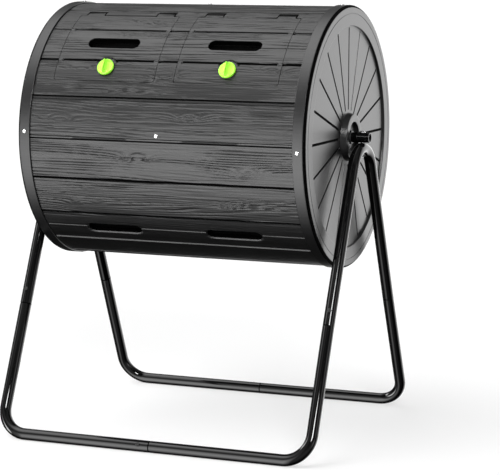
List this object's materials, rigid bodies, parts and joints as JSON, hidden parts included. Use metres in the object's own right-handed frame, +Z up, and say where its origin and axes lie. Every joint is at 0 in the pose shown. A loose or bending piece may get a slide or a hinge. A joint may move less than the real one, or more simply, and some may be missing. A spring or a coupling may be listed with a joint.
{
  "type": "compost tumbler",
  "caption": "Free-standing garden composter: a divided plastic drum with latched doors that turns on a fixed steel axle between two bent-tube legs.",
  "frame": {"origin": "on the floor, under the middle of the axle", "axes": "+X along the axle, +Y to the back (the doors face -Y and up), +Z up"},
  "size_m": [0.758, 0.684, 0.9536],
  "materials": {
    "drum_plastic": "satin, moulded wood grain",
    "cap_plastic": "satin",
    "frame_steel": "gloss black powder coat",
    "knob_plastic": "satin",
    "bush_plastic": "smooth",
    "fasteners": "zinc plated",
    "black_fasteners": "black coated"
  },
  "bodies": {
    "frame": {"arch_left": "frame_steel", "arch_right": "frame_steel", "axle": "frame_steel", "axle_bolts": "fasteners", "axle_nuts": "fasteners", "corner_tube_front_left": "frame_steel", "corner_tube_front_right": "frame_steel", "corner_tube_rear_left": "frame_steel", "corner_tube_rear_right": "frame_steel", "tube_screws_front": "black_fasteners", "tube_screws_rear": "black_fasteners"},
    "door_left": {"door_left": "drum_plastic"},
    "latch_left": {"latch_knob_left": "knob_plastic", "latch_tongue_left": "bush_plastic", "latch_screw_left": "fasteners"},
    "door_right": {"door_right": "drum_plastic"},
    "latch_right": {"latch_knob_right": "knob_plastic", "latch_tongue_right": "bush_plastic", "latch_screw_right": "fasteners"},
    "drum": {"bush_left": "bush_plastic", "bush_right": "bush_plastic", "cap_screws_left": "fasteners", "cap_screws_right": "fasteners", "divider": "drum_plastic", "divider_screws": "fasteners", "end_cap_left": "cap_plastic", "end_cap_right": "cap_plastic", "hinge_pins": "fasteners", "panel_door_front": "drum_plastic", "panel_lower_front": "drum_plastic", "panel_lower_rear": "drum_plastic", "panel_upper_rear": "drum_plastic"}
  },
  "joints": [
    {"name": "drum_spin", "type": "hinge", "parent": "frame", "child": "drum", "pos_m": [0, 0, 0.6643], "axis": [1, 0, 0], "continuous": true},
    {"name": "door_left_open", "type": "hinge", "parent": "drum", "child": "door_left", "pos_m": [-0.1415, -0.10343, 0.92288], "axis": [-1, 0, 0], "range_deg": [0, 95]},
    {"name": "door_right_open", "type": "hinge", "parent": "drum", "child": "door_right", "pos_m": [0.1415, -0.10343, 0.92288], "axis": [-1, 0, 0], "range_deg": [0, 95]},
    {"name": "latch_left_turn", "type": "hinge", "parent": "door_left", "child": "latch_left", "pos_m": [-0.1415, -0.23152, 0.81066], "axis": [0, 0.8453, -0.5344], "range_deg": [0, 90]},
    {"name": "latch_right_turn", "type": "hinge", "parent": "door_right", "child": "latch_right", "pos_m": [0.1415, -0.23152, 0.81066], "axis": [0, 0.8453, -0.5344], "range_deg": [0, 90]}
  ]
}
